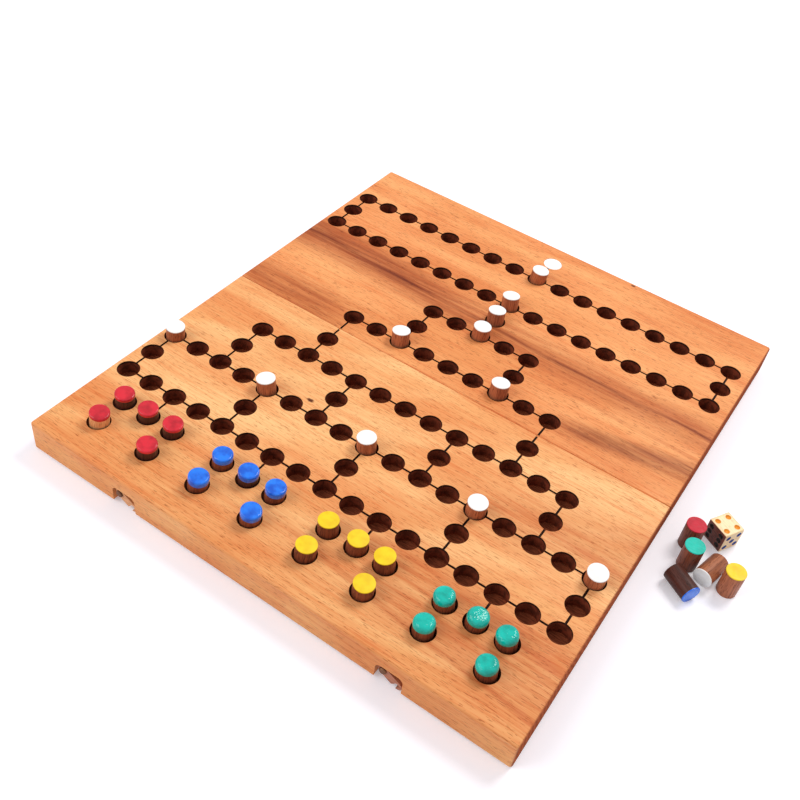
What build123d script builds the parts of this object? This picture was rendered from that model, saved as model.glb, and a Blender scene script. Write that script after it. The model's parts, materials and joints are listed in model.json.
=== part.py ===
# Wooden barricade board game: two hollow board halves hinged together under a seam, lying open
# with the playing side up. Coloured pegs and white-topped barricade pegs stand in drilled holes,
# and one spare of each kind lies beside the board with the die. Folded back to back, the halves
# close into a flat case for the pegs, held shut by two swinging hooks in the front edge.
#
# Frame: millimetres, +X to the right of the near players, +Y away from them, +Z up. The origin
# is on the table, under the middle of everything that stands on it. The seam runs along y = 0.

from build123d import *
from math import acos, asin, cos, degrees, hypot, radians, sin
import os

# Board halves
board_width = 276.0
half_length = 157.0
board_thickness = 17.0
seam_gap = 0.3
closed_gap = 0.2
outer_edge_round = 1.2
seam_edge_bevel = 0.4
corner_round = 1.5
wood_under_holes = 2.0
storage_corner = 8.0
side_rim = 13.0
front_rim = 18.0
seam_rim = 13.0

# Field of holes: seventeen columns, and rows counted from the one nearest the near players
column_count = 17
column_pitch = 16.0
row_pitch = 17.5
field_shift = -1.5
peg_play = 0.9
hole_depth = 8.5
groove_width = 1.2
groove_depth = 0.8
near_rows_to_seam = 12.0
far_rows_to_seam = 13.0
home_gap = 18.5
goal_gap = 21.5
goal_diameter = 11.6
goal_depth = 0.6

# Pegs, and how far a leaning peg's foot slides against its lean
peg_diameter = 10.2
peg_length = 15.5
peg_floor_gap = 0.05
foot_slide = 0.4

# Die
die_size = 12.4
die_edge_bevel = 0.5
pip_diameter = 2.4
pip_depth = 0.5
pip_pitch = 3.4

# Hinges let into the underside at the seam
hinge_offset = 82.0
leaf_length = 24.0
leaf_width = 10.0
leaf_thickness = 1.0
knuckle_radius = 1.3
knuckle_gap = 0.15
leaf_clear_of_knuckle = 0.2
pin_radius = 0.65
running_gap = 0.05
mortise_gap = 0.2
knuckle_groove_gap = 0.3

# Screws of the hinges, countersunk into the leaves
hinge_screw_head_radius = 2.0
hinge_screw_radius = 1.0
hinge_screw_length = 7.0
hinge_screw_tip = 1.2
hinge_screw_spacing = 16.0
hinge_screw_to_seam = 6.0
screw_seat_gap = 0.05

# Latches in the outer edges: a wooden hook turns on one screw and catches behind another
latch_offset = 76.5
notch_width = 14.2
notch_height = 10.0
notch_corner = 3.0
pivot_shift = -3.6
pivot_height = 5.9
catch_height = 2.8
hook_radius = 2.6
hook_thickness = 4.0
hook_recess = 1.3
hook_back_gap = 0.3
hook_slot_gap = 0.15
hook_slot_sweep = 32.0
hook_table_gap = 0.05
latch_screw_radius = 1.1
latch_head_radius = 1.9
latch_head_height = 0.9
latch_head_gap = 0.1
latch_screw_in_wood = 8.0

# Where the loose pieces stand or lie, from the board's right edge and the seam
spare_red_at = (14.7, 0.8)
spare_green_at = (19.0, -12.1)
spare_yellow_at = (40.9, -13.9)
spare_blue_at = (21.6, -28.0)
spare_blue_heading = -31.4
spare_barricade_at = (30.5, -11.7)
spare_barricade_heading = 256.3
die_at = (27.0, 14.2)
die_turn = -29.0

# Values that follow from the sizes above
peg_radius = peg_diameter / 2
hole_diameter = peg_diameter + 2 * peg_play
hole_radius = hole_diameter / 2
storage_depth = board_thickness - hole_depth - wood_under_holes
hinge_axis_z = knuckle_radius
underside = hinge_axis_z + closed_gap / 2
board_top = underside + board_thickness
hole_floor = board_top - hole_depth
board_x = -(spare_yellow_at[0] + peg_radius) / 2
right_edge = board_x + board_width / 2
notch_depth = hook_recess + hook_thickness + hook_back_gap
pivot_z = underside + pivot_height
catch_z = underside + catch_height
catch_distance = pivot_height + closed_gap + catch_height
hook_rest_angle = degrees(acos((pivot_z - hook_radius - hook_table_gap) / catch_distance))
hinge_xs = [board_x - hinge_offset, board_x + hinge_offset]
notch_xs = [board_x - latch_offset, board_x + latch_offset]

os.makedirs("parts", exist_ok=True)


def finish(solid, name):
    solid.label = name
    export_step(solid, f"parts/{name}.step")


# The track: which columns each row has. Rows 0 to 5 are in the near half, 6 to 12 in the far one.
near_track = {
    0: range(17),
    1: (0, 4, 8, 12, 16),
    2: range(17),
    3: (2, 6, 10, 14),
    4: range(2, 15),
    5: (4, 12),
}
far_track = {
    6: range(4, 13),
    7: (6, 10),
    8: range(6, 11),
    9: (8,),
    10: range(17),
    11: (0, 16),
    12: range(17),
}
home_columns = {"red": 2, "blue": 6, "yellow": 10, "green": 14}


def column_x(column):
    return board_x + field_shift + (column - (column_count - 1) / 2) * column_pitch


def row_y(row):
    if row < 6:
        return -near_rows_to_seam - (5 - row) * row_pitch
    return far_rows_to_seam + (row - 6) * row_pitch


def hole_at(column, row):
    return (column_x(column), row_y(row))


upper_home_y = row_y(0) - home_gap
lower_home_y = upper_home_y - row_pitch
goal_at = (column_x(8), row_y(12) + goal_gap)


def home_holes(middle_column):
    """A home is three holes with two more below the outer ones."""
    upper = [(column_x(middle_column + step), upper_home_y) for step in (-1, 0, 1)]
    lower = [(column_x(middle_column + step), lower_home_y) for step in (-1, 1)]
    return upper + lower


def track_holes(track):
    return [hole_at(column, row) for row, columns in track.items() for column in columns]


def burnt_rows(track):
    """One line along each row whose holes stand side by side."""
    rows = [(row, list(columns)) for row, columns in track.items() if isinstance(columns, range)]
    return [(hole_at(columns[0], row), hole_at(columns[-1], row)) for row, columns in rows]


def burnt_column(column, start_y, end_y):
    return ((column_x(column), start_y), (column_x(column), end_y))


near_holes = track_holes(near_track) + [p for c in home_columns.values() for p in home_holes(c)]
far_holes = track_holes(far_track)
near_lines = burnt_rows(near_track)
near_lines += [burnt_column(c, row_y(0), row_y(2)) for c in range(0, 17, 4)]
near_lines += [burnt_column(c, row_y(2), row_y(4)) for c in range(2, 15, 4)]
near_lines += [burnt_column(c, row_y(4), 0.0) for c in (4, 12)]
near_lines += [burnt_column(c, upper_home_y, row_y(0)) for c in home_columns.values()]
far_lines = burnt_rows(far_track)
far_lines += [burnt_column(c, 0.0, row_y(6)) for c in (4, 12)]
far_lines += [burnt_column(c, row_y(6), row_y(8)) for c in (6, 10)]
far_lines += [burnt_column(8, row_y(8), row_y(10))]
far_lines += [burnt_column(c, row_y(10), row_y(12)) for c in (0, 16)]
far_lines += [burnt_column(8, row_y(12), goal_at[1])]


def board_half(side, holes, lines, latch_screw_z):
    """One half of the board: side is -1 for the near half and 1 for the far half."""
    length = half_length - seam_gap / 2
    middle = (board_x, side * (seam_gap / 2 + length / 2))
    storage_length = half_length - front_rim - seam_rim
    storage_middle = (board_x, side * (seam_rim + storage_length / 2))
    bottom = Plane.XY.offset(underside)
    top = Plane.XY.offset(board_top)
    outer_edge = Plane(origin=(0, side * half_length, underside), x_dir=(1, 0, 0), z_dir=(0, -side, 0))
    notch_back = outer_edge.offset(notch_depth)

    with BuildPart() as half:
        with BuildSketch(bottom):
            with Locations(middle):
                Rectangle(board_width, length)
        extrude(amount=board_thickness)
        uprights = half.edges().filter_by(Axis.Z)
        fillet(uprights.filter_by(lambda edge: abs(edge.center().Y) > half_length / 2), corner_round)
        rim = half.faces().sort_by(Axis.Z)[-1].edges()
        fillet(rim.filter_by(lambda edge: abs(edge.center().Y) > seam_gap), outer_edge_round)
        rim = half.faces().sort_by(Axis.Z)[-1].edges()
        chamfer(rim.filter_by(lambda edge: abs(edge.center().Y) < seam_gap), seam_edge_bevel)

        # Flat-bottomed peg holes, and the lines burnt between them
        with BuildSketch(top):
            with Locations(*holes):
                Circle(hole_radius)
        extrude(amount=-hole_depth, mode=Mode.SUBTRACT)
        with BuildSketch(top):
            for start, end in lines:
                run_x = abs(end[0] - start[0])
                run_y = abs(end[1] - start[1])
                with Locations(((start[0] + end[0]) / 2, (start[1] + end[1]) / 2)):
                    Rectangle(max(run_x, groove_width), max(run_y, groove_width))
        extrude(amount=-groove_depth, mode=Mode.SUBTRACT)
        if side > 0:
            with BuildSketch(top):
                with Locations(goal_at):
                    Circle(goal_diameter / 2)
            extrude(amount=-goal_depth, mode=Mode.SUBTRACT)

        # Storage hollow, milled into the underside
        with BuildSketch(bottom):
            with Locations(storage_middle):
                RectangleRounded(board_width - 2 * side_rim, storage_length, storage_corner)
        extrude(amount=storage_depth, mode=Mode.SUBTRACT)

        # Latch notches, open at the outer edge and the underside, and the pilot holes in them
        with BuildSketch(outer_edge):
            with Locations(*[(x, 0) for x in notch_xs]):
                RectangleRounded(notch_width, 2 * notch_height, notch_corner)
        extrude(amount=notch_depth, mode=Mode.SUBTRACT)
        with BuildSketch(notch_back):
            with Locations(*[(x + pivot_shift, side * (latch_screw_z - underside)) for x in notch_xs]):
                Circle(latch_screw_radius + screw_seat_gap)
        extrude(amount=latch_screw_in_wood + screw_seat_gap, mode=Mode.SUBTRACT)

        # Mortises for the hinge leaves, pilot holes for their screws, grooves for the knuckles
        with BuildSketch(bottom):
            with Locations(*[(x, side * leaf_width / 2) for x in hinge_xs]):
                Rectangle(leaf_length + 2 * mortise_gap, leaf_width + 2 * mortise_gap)
        extrude(amount=leaf_thickness + running_gap, mode=Mode.SUBTRACT)
        with BuildSketch(bottom):
            with Locations(*hinge_screw_points(side)):
                Circle(hinge_screw_radius + screw_seat_gap)
        extrude(amount=hinge_screw_length + screw_seat_gap, mode=Mode.SUBTRACT)
        for x in hinge_xs:
            with BuildSketch(Plane.YZ.offset(x)):
                with Locations((0, hinge_axis_z)):
                    Circle(knuckle_radius + knuckle_groove_gap)
            extrude(amount=leaf_length / 2 + mortise_gap, both=True, mode=Mode.SUBTRACT)
    return half.part


def hinge_screw_points(side):
    """Plan of the screws of both hinges in one half."""
    steps = (-hinge_screw_spacing / 2, hinge_screw_spacing / 2)
    return [(x + step, side * hinge_screw_to_seam) for x in hinge_xs for step in steps]


def hinge_leaf(x, side, knuckles):
    """A leaf and its knuckles; knuckles lists the ends of each, from the hinge's middle."""
    plate_start = knuckle_radius + leaf_clear_of_knuckle
    with BuildPart() as leaf:
        with BuildSketch(Plane.XY.offset(underside)):
            with Locations((x, side * (plate_start + leaf_width) / 2)):
                Rectangle(leaf_length, leaf_width - plate_start)
            for start, end in knuckles:
                with Locations((x + (start + end) / 2, side * plate_start / 2)):
                    Rectangle(end - start, plate_start)
        extrude(amount=leaf_thickness)
        for start, end in knuckles:
            with BuildSketch(Plane.YZ.offset(x + start)):
                with Locations((0, hinge_axis_z)):
                    Circle(knuckle_radius)
            extrude(amount=end - start)
        with BuildSketch(Plane.YZ.offset(x)):
            with Locations((0, hinge_axis_z)):
                Circle(pin_radius + running_gap)
        extrude(amount=leaf_length, both=True, mode=Mode.SUBTRACT)
        leaf_plane = Plane(origin=(0, 0, underside), x_dir=(1, 0, 0), z_dir=(0, 0, -1))
        holes = [(px, -py) for px, py in hinge_screw_points(side) if abs(px - x) < leaf_length]
        with Locations(*[leaf_plane * Location((px, py, 0)) for px, py in holes]):
            CounterSinkHole(
                radius=hinge_screw_radius + screw_seat_gap,
                counter_sink_radius=hinge_screw_head_radius + screw_seat_gap,
                depth=leaf_thickness,
                counter_sink_angle=90,
            )
    return leaf.part


def hinge_pin(x):
    with BuildPart() as pin:
        with BuildSketch(Plane.YZ.offset(x - leaf_length / 2)):
            with Locations((0, hinge_axis_z)):
                Circle(pin_radius)
        extrude(amount=leaf_length)
    return pin.part


def turned(outline):
    """A solid of revolution about the Z axis from its half outline, given as radius and height."""
    with BuildPart() as solid:
        with BuildSketch(Plane.XZ):
            with BuildLine():
                Polyline(*outline, close=True)
            make_face()
        revolve(axis=Axis.Z)
    return solid.part


def group(solid, locations):
    """Copies of one fastener, kept as separate solids of one piece."""
    with BuildPart() as copies:
        with Locations(*locations):
            add(solid)
    return copies.part


hinge_screw = turned([
    (0, 0),
    (hinge_screw_head_radius, 0),
    (hinge_screw_radius, leaf_thickness),
    (hinge_screw_radius, hinge_screw_length - hinge_screw_tip),
    (0, hinge_screw_length),
])
latch_head_top = latch_head_gap + latch_head_height
latch_screw_end = hook_thickness + hook_back_gap + latch_screw_in_wood
latch_screw = turned([
    (0, -latch_head_top),
    (latch_head_radius - latch_head_height / 2, -latch_head_top),
    (latch_head_radius, -latch_head_top + latch_head_height / 2),
    (latch_head_radius, -latch_head_gap),
    (latch_screw_radius, -latch_head_gap),
    (latch_screw_radius, latch_screw_end - latch_screw_radius),
    (0, latch_screw_end),
])


def latch_screw_places(side, z):
    """The screws enter the outer edge square to it, with their heads in the notches."""
    y = side * (half_length - hook_recess)
    return [
        Plane(origin=(x + pivot_shift, y, z), x_dir=(1, 0, 0), z_dir=(0, -side, 0)).location
        for x in notch_xs
    ]


def latch_hook(x):
    """The hook at rest: its eye is on the pivot screw and its tip leans on the table."""
    lean = radians(hook_rest_angle)
    hook_plane = Plane(
        origin=(x + pivot_shift, -half_length + hook_recess, pivot_z),
        x_dir=(-cos(lean), 0, -sin(lean)),
        z_dir=(0, 1, 0),
    )
    with BuildPart() as hook:
        with BuildSketch(hook_plane):
            with Locations((0, -catch_distance / 2)):
                SlotCenterToCenter(catch_distance, 2 * hook_radius, rotation=90)
            Circle(latch_screw_radius + running_gap, mode=Mode.SUBTRACT)
            with BuildLine(mode=Mode.PRIVATE) as swing:
                CenterArc((0, 0), catch_distance, -90, hook_slot_sweep)
            SlotArc(swing.edges()[0], 2 * (latch_screw_radius + hook_slot_gap), mode=Mode.SUBTRACT)
        extrude(amount=hook_thickness)
    return hook.part


def peg_on(plane):
    """A dowel that stands on a plane's origin, along the plane's normal."""
    with BuildPart() as peg:
        with BuildSketch(plane):
            Circle(peg_radius)
        extrude(amount=peg_length)
    return peg.part


def seated_peg(hole, lean):
    """A peg standing loosely in its hole; lean is how far its top leans off the hole's middle."""
    run = [(1 + foot_slide) * shift for shift in lean]
    tilt = asin(hypot(*run) / peg_length)
    foot = (hole[0] - foot_slide * lean[0], hole[1] - foot_slide * lean[1])
    foot_z = hole_floor + peg_floor_gap + peg_radius * sin(tilt)
    direction = (run[0] / peg_length, run[1] / peg_length, cos(tilt))
    return peg_on(Plane(origin=(*foot, foot_z), z_dir=direction))


def standing_peg(place):
    return peg_on(Plane(origin=(right_edge + place[0], place[1], 0)))


def lying_peg(place, heading):
    """A peg on its side; heading is the way its painted end points, in degrees from +X."""
    direction = (cos(radians(heading)), sin(radians(heading)), 0)
    middle = Vector(right_edge + place[0], place[1], peg_radius)
    return peg_on(Plane(origin=middle - Vector(*direction) * (peg_length / 2), z_dir=direction))


# Board halves
finish(board_half(-1, near_holes, near_lines, pivot_z), "board_near")
finish(board_half(1, far_holes, far_lines, catch_z), "board_far")

# Hinges: the near leaf has the two outer knuckles and the far leaf the middle one
third = leaf_length / 6
outer_knuckles = [(-leaf_length / 2, -third - knuckle_gap), (third + knuckle_gap, leaf_length / 2)]
middle_knuckle = [(-third, third)]
for name, x in zip(("left", "right"), hinge_xs):
    finish(hinge_leaf(x, -1, outer_knuckles), f"hinge_{name}_near_leaf")
    finish(hinge_leaf(x, 1, middle_knuckle), f"hinge_{name}_far_leaf")
    finish(hinge_pin(x), f"hinge_{name}_pin")
for name, side in (("near", -1), ("far", 1)):
    places = [Location((px, py, underside)) for px, py in hinge_screw_points(side)]
    finish(group(hinge_screw, places), f"hinge_screws_{name}")

# Latches
for name, x in zip(("left", "right"), notch_xs):
    finish(latch_hook(x), f"latch_hook_{name}")
finish(group(latch_screw, latch_screw_places(-1, pivot_z)), "latch_pivot_screws")
finish(group(latch_screw, latch_screw_places(1, catch_z)), "latch_catch_screws")

# Players' pegs in their homes: how far the top of each leans to the right and away
home_leans = {
    "red": [(1.0, -0.3), (1.0, -0.5), (1.3, -0.3), (1.4, 0.1), (1.3, -0.5)],
    "blue": [(0.5, 0.3), (1.0, -0.2), (1.2, 0.2), (1.4, 0.1), (1.3, -0.3)],
    "yellow": [(-0.3, 0.1), (0.5, 0.1), (-0.6, -0.3), (0.5, 0.3), (0.6, -0.4)],
    "green": [(-0.9, -0.6), (0.7, -0.2), (-1.1, -0.5), (-0.5, 0.4), (-1.0, -0.4)],
}
for colour, leans in home_leans.items():
    for number, (hole, lean) in enumerate(zip(home_holes(home_columns[colour]), leans), 1):
        finish(seated_peg(hole, lean), f"{colour}_peg_{number}")

# Barricades on their starting holes: column, row and lean
barricades = [
    (0, 2, (0.8, -0.4)),
    (4, 2, (-1.1, -0.1)),
    (8, 2, (-0.6, -0.3)),
    (12, 2, (0.4, -0.4)),
    (16, 2, (0.4, -0.9)),
    (6, 6, (-0.8, 1.1)),
    (10, 6, (-0.2, 1.2)),
    (8, 8, (0.3, 0.4)),
    (8, 9, (-0.5, 1.1)),
    (8, 10, (-0.9, 1.1)),
    (8, 12, (0.8, 0.6)),
]
for number, (column, row, lean) in enumerate(barricades, 1):
    finish(seated_peg(hole_at(column, row), lean), f"barricade_{number}")

# Spare pieces beside the board
finish(standing_peg(spare_red_at), "spare_red_peg")
finish(standing_peg(spare_green_at), "spare_green_peg")
finish(standing_peg(spare_yellow_at), "spare_yellow_peg")
finish(lying_peg(spare_blue_at, spare_blue_heading), "spare_blue_peg")
finish(lying_peg(spare_barricade_at, spare_barricade_heading), "spare_barricade")

# Die: each face's pips as steps of pip_pitch from its middle; opposite faces add up to seven
corner_pips = [(-1, -1), (1, 1), (-1, 1), (1, -1)]
pip_steps = {
    1: [(0, 0)],
    2: corner_pips[:2],
    3: corner_pips[:2] + [(0, 0)],
    4: corner_pips,
    5: corner_pips + [(0, 0)],
    6: corner_pips + [(-1, 0), (1, 0)],
}
die_normals = {
    4: (0, 0, 1),
    3: (0, 0, -1),
    6: (0, -1, 0),
    1: (0, 1, 0),
    5: (1, 0, 0),
    2: (-1, 0, 0),
}
with BuildPart() as die:
    Box(die_size, die_size, die_size)
    chamfer(die.edges(), die_edge_bevel)
    for value, normal in die_normals.items():
        side_axis = (0, 1, 0) if normal[0] else (1, 0, 0)
        face = Plane(origin=Vector(*normal) * (die_size / 2), x_dir=side_axis, z_dir=normal)
        pips = [(pip_pitch * u, pip_pitch * v, -pip_depth / 2) for u, v in pip_steps[value]]
        with Locations(*[face * Location(pip) for pip in pips]):
            Cone(0, pip_diameter / 2, pip_depth, mode=Mode.SUBTRACT)
die_place = Location((right_edge + die_at[0], die_at[1], die_size / 2), (0, 0, die_turn))
finish(die.part.moved(die_place), "die")
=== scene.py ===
# %% [markdown]
# # A folding wooden barricade game
#
# The board is two slabs of golden wood that hinge along a seam and lie open on a table. Rows of
# drilled holes are joined by burnt lines. Short dowels with painted tops stand in the holes, and
# one spare of each kind lies beside the board with a small wooden die. Everything is in metres,
# with the origin on the table under the middle of it all, +X to the right and +Y to the back.

# %% Load the fixed frame
import json
import math

import bpy
from mathutils import Euler, Matrix, Vector


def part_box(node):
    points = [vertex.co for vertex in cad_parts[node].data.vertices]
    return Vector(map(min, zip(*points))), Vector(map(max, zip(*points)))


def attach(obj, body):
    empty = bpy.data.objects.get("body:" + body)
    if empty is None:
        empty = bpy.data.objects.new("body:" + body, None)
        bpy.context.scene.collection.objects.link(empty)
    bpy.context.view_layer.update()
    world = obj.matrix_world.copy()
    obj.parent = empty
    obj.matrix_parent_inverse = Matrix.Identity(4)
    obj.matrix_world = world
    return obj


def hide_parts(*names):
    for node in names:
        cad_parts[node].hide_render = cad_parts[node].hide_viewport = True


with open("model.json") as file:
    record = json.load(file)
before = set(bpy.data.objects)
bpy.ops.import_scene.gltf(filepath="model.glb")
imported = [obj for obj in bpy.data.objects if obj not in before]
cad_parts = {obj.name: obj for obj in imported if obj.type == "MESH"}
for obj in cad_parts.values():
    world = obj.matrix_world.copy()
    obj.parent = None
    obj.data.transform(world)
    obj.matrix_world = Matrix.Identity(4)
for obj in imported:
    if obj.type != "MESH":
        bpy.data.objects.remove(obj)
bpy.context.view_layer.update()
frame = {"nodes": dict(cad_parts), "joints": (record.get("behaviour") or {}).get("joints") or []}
MM = 0.001
near_low, near_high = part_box("board_near")
far_low, far_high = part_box("board_far")
board_middle_x = (near_low.x + near_high.x) / 2
board_half_width = (near_high.x - near_low.x) / 2
board_top = near_high.z
hole_depth = 8.5 * MM
print("board top at", round(board_top / MM, 2), "mm, half width", round(board_half_width / MM, 2), "mm")

# %% [markdown]
# ## The photograph's point of view
#
# The camera stands in front of the near right corner and looks down at about 44 degrees. A lens
# of 44 mm on a 36 mm sensor gives the mild perspective in which the far edge looks a little
# shorter than the near one. The numbers were solved from the drilled holes, which are the best
# ruler in the picture.

# %% Camera
camera_data = bpy.data.cameras.new("photo_camera")
camera_data.lens = 44.19
camera_data.sensor_width = 36.0
camera_data.clip_start = 0.01
camera_data.dof.use_dof = False
camera = bpy.data.objects.new("photo_camera", camera_data)
camera.location = (0.1416, -0.3546, 0.3799)
camera.rotation_euler = Euler([math.radians(a) for a in (45.404, -6.481, 33.973)])
bpy.context.scene.collection.objects.link(camera)
bpy.context.scene.camera = camera
print("camera is", round(camera.location.length, 3), "m from the middle of the set")

# %% [markdown]
# ## Light and floor
#
# The set stands on a white table in soft light that comes from behind on the right, so faint
# shadows fall towards the viewer under the near edge. One lamp does that, a larger and dimmer one
# opens up the front edge, and the world fills the rest. The floor and the world are shown to the
# camera as white through Light Path, which brightens the background without adding light to the
# wood.

# %% Colours are written as they look on a screen
def screen_colour(red, green, blue):
    """A screen colour of 0 to 255 as the linear values that a shader takes."""
    channels = [value / 255 for value in (red, green, blue)]
    linear = [c / 12.92 if c <= 0.04045 else ((c + 0.055) / 1.055) ** 2.4 for c in channels]
    return (*linear, 1.0)


# %% Lamps
set_middle = Vector((0.0, 0.0, 0.01))


def soft_lamp(name, place, size, watts, colour):
    """A round lamp that shines on the middle of the set."""
    lamp_data = bpy.data.lights.new(name, "AREA")
    lamp_data.shape = "DISK"
    lamp_data.size = size
    lamp_data.energy = watts
    lamp_data.color = colour
    lamp = bpy.data.objects.new(name, lamp_data)
    lamp.location = place
    lamp.rotation_euler = (set_middle - Vector(place)).to_track_quat("-Z", "Y").to_euler()
    bpy.context.scene.collection.objects.link(lamp)
    return lamp


key_lamp = soft_lamp("key_lamp", (0.25, 0.78, 1.15), 0.6, 10.8, (1.0, 0.98, 0.95))
front_lamp = soft_lamp("front_lamp", (-0.75, -0.75, 0.85), 1.0, 7.5, (1.0, 0.99, 0.98))
print("lamps:", key_lamp.data.energy, "W and", front_lamp.data.energy, "W")


# %% World
def seen_directly(nodes, links):
    """A value of 1 for rays from the camera and for reflections and refractions, else 0."""
    light_path = nodes.new("ShaderNodeLightPath")
    reflected = nodes.new("ShaderNodeMath")
    reflected.operation = "MAXIMUM"
    links.new(light_path.outputs["Is Glossy Ray"], reflected.inputs[0])
    links.new(light_path.outputs["Is Transmission Ray"], reflected.inputs[1])
    seen = nodes.new("ShaderNodeMath")
    seen.operation = "MAXIMUM"
    links.new(light_path.outputs["Is Camera Ray"], seen.inputs[0])
    links.new(reflected.outputs[0], seen.inputs[1])
    return seen.outputs[0]


world = bpy.data.worlds.new("white_room")
world.use_nodes = True
bpy.context.scene.world = world
world_nodes = world.node_tree.nodes
world_links = world.node_tree.links
world_nodes.clear()
fill_light = world_nodes.new("ShaderNodeBackground")
fill_light.inputs["Color"].default_value = (0.93, 0.94, 1.0, 1.0)
fill_light.inputs["Strength"].default_value = 0.48
white_view = world_nodes.new("ShaderNodeBackground")
white_view.inputs["Color"].default_value = (1.0, 1.0, 1.0, 1.0)
white_view.inputs["Strength"].default_value = 1.0
world_mix = world_nodes.new("ShaderNodeMixShader")
world_links.new(seen_directly(world_nodes, world_links), world_mix.inputs[0])
world_links.new(fill_light.outputs[0], world_mix.inputs[1])
world_links.new(white_view.outputs[0], world_mix.inputs[2])
world_output = world_nodes.new("ShaderNodeOutputWorld")
world_links.new(world_mix.outputs[0], world_output.inputs["Surface"])
bpy.context.scene.view_settings.view_transform = "Standard"

# %% Floor
bpy.ops.object.select_all(action="DESELECT")
bpy.ops.mesh.primitive_plane_add(size=8.0, location=(0, 0, 0))
floor = bpy.context.object
floor.name = "floor"
floor_material = bpy.data.materials.new("white_table")
floor_material.use_nodes = True
floor_nodes = floor_material.node_tree.nodes
floor_links = floor_material.node_tree.links
floor_shader = floor_nodes["Principled BSDF"]
floor_shader.inputs["Base Color"].default_value = (0.90, 0.885, 0.93, 1.0)
floor_shader.inputs["Roughness"].default_value = 0.75
floor_shader.inputs["Specular IOR Level"].default_value = 0.2
floor_glow = floor_nodes.new("ShaderNodeEmission")
floor_glow.inputs["Color"].default_value = (1.0, 0.99, 1.0, 1.0)
floor_glow.inputs["Strength"].default_value = 0.24
floor_sum = floor_nodes.new("ShaderNodeAddShader")
floor_links.new(floor_shader.outputs[0], floor_sum.inputs[0])
floor_links.new(floor_glow.outputs[0], floor_sum.inputs[1])
floor_mix = floor_nodes.new("ShaderNodeMixShader")
floor_links.new(seen_directly(floor_nodes, floor_links), floor_mix.inputs[0])
floor_links.new(floor_shader.outputs[0], floor_mix.inputs[1])
floor_links.new(floor_sum.outputs[0], floor_mix.inputs[2])
floor_links.new(floor_mix.outputs[0], floor_nodes["Material Output"].inputs["Surface"])
floor.data.materials.append(floor_material)

# %% [markdown]
# ## Shared effects
#
# All the wood in this set shows the same things at different sizes: a slow drift of tone, fine
# streaks along the grain, and short dark pores. These are built once as node groups. The groups
# take a position in millimetres with X along the grain, so a value such as a streak's width can be
# thought of in real sizes.

# %% A small kit for writing node groups
class Wiring:
    """Adds nodes to a tree, and takes sockets or plain numbers as inputs."""

    def __init__(self, tree):
        self.nodes = tree.nodes
        self.links = tree.links

    def feed(self, socket, value):
        if isinstance(value, bpy.types.NodeSocket):
            self.links.new(value, socket)
        else:
            socket.default_value = value

    def math(self, operation, *values, clamp=False):
        node = self.nodes.new("ShaderNodeMath")
        node.operation = operation
        node.use_clamp = clamp
        for socket, value in zip(node.inputs, values):
            self.feed(socket, value)
        return node.outputs[0]

    def vector(self, operation, *values):
        node = self.nodes.new("ShaderNodeVectorMath")
        node.operation = operation
        for socket, value in zip(node.inputs, values):
            self.feed(socket, value)
        return node.outputs["Value"] if operation == "LENGTH" else node.outputs["Vector"]

    def scaled(self, vector, factor):
        node = self.nodes.new("ShaderNodeVectorMath")
        node.operation = "SCALE"
        self.feed(node.inputs[0], vector)
        self.feed(node.inputs["Scale"], factor)
        return node.outputs["Vector"]

    def parts(self, vector):
        node = self.nodes.new("ShaderNodeSeparateXYZ")
        self.feed(node.inputs[0], vector)
        return node.outputs[0], node.outputs[1], node.outputs[2]

    def join(self, x, y, z):
        node = self.nodes.new("ShaderNodeCombineXYZ")
        for socket, value in zip(node.inputs, (x, y, z)):
            self.feed(socket, value)
        return node.outputs[0]

    def noise(self, vector, scale=1.0, detail=2.0, roughness=0.5, distortion=0.0):
        node = self.nodes.new("ShaderNodeTexNoise")
        self.feed(node.inputs["Vector"], vector)
        self.feed(node.inputs["Scale"], scale)
        self.feed(node.inputs["Detail"], detail)
        self.feed(node.inputs["Roughness"], roughness)
        self.feed(node.inputs["Distortion"], distortion)
        return node.outputs[0]

    def step(self, value, low, high, to_low=0.0, to_high=1.0):
        """A smooth step from to_low at low to to_high at high."""
        node = self.nodes.new("ShaderNodeMapRange")
        node.interpolation_type = "SMOOTHSTEP"
        for name, number in (
            ("Value", value),
            ("From Min", low),
            ("From Max", high),
            ("To Min", to_low),
            ("To Max", to_high),
        ):
            self.feed(node.inputs[name], number)
        return node.outputs[0]

    def mix(self, amount, first, second, blend="MIX"):
        node = self.nodes.new("ShaderNodeMix")
        node.data_type = "RGBA"
        node.blend_type = blend
        self.feed(node.inputs[0], amount)
        self.feed(node.inputs[6], first)
        self.feed(node.inputs[7], second)
        return node.outputs[2]

    def group(self, tree, **values):
        """Places a node group. An input's name has a space where the keyword has an underscore."""
        node = self.nodes.new("ShaderNodeGroup")
        node.node_tree = tree
        for name, value in values.items():
            self.feed(node.inputs[name.replace("_", " ")], value)
        return node.outputs

    def bump(self, height, strength, distance, normal=None):
        node = self.nodes.new("ShaderNodeBump")
        self.feed(node.inputs["Height"], height)
        self.feed(node.inputs["Strength"], strength)
        self.feed(node.inputs["Distance"], distance)
        if normal is not None:
            self.feed(node.inputs["Normal"], normal)
        return node.outputs["Normal"]


def new_group(name, inputs, outputs):
    """An empty node group. inputs and outputs map each socket's name to its kind or its default."""
    tree = bpy.data.node_groups.new(name, "ShaderNodeTree")
    for label, default in inputs.items():
        kind = "NodeSocketVector"
        if isinstance(default, float):
            kind = "NodeSocketFloat"
        elif len(default) == 4:
            kind = "NodeSocketColor"
        socket = tree.interface.new_socket(name=label, in_out="INPUT", socket_type=kind)
        socket.default_value = default
    for label, kind in outputs.items():
        tree.interface.new_socket(name=label, in_out="OUTPUT", socket_type=kind)
    wiring = Wiring(tree)
    source = tree.nodes.new("NodeGroupInput").outputs
    result = tree.nodes.new("NodeGroupOutput").inputs
    return tree, wiring, source, result


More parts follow.
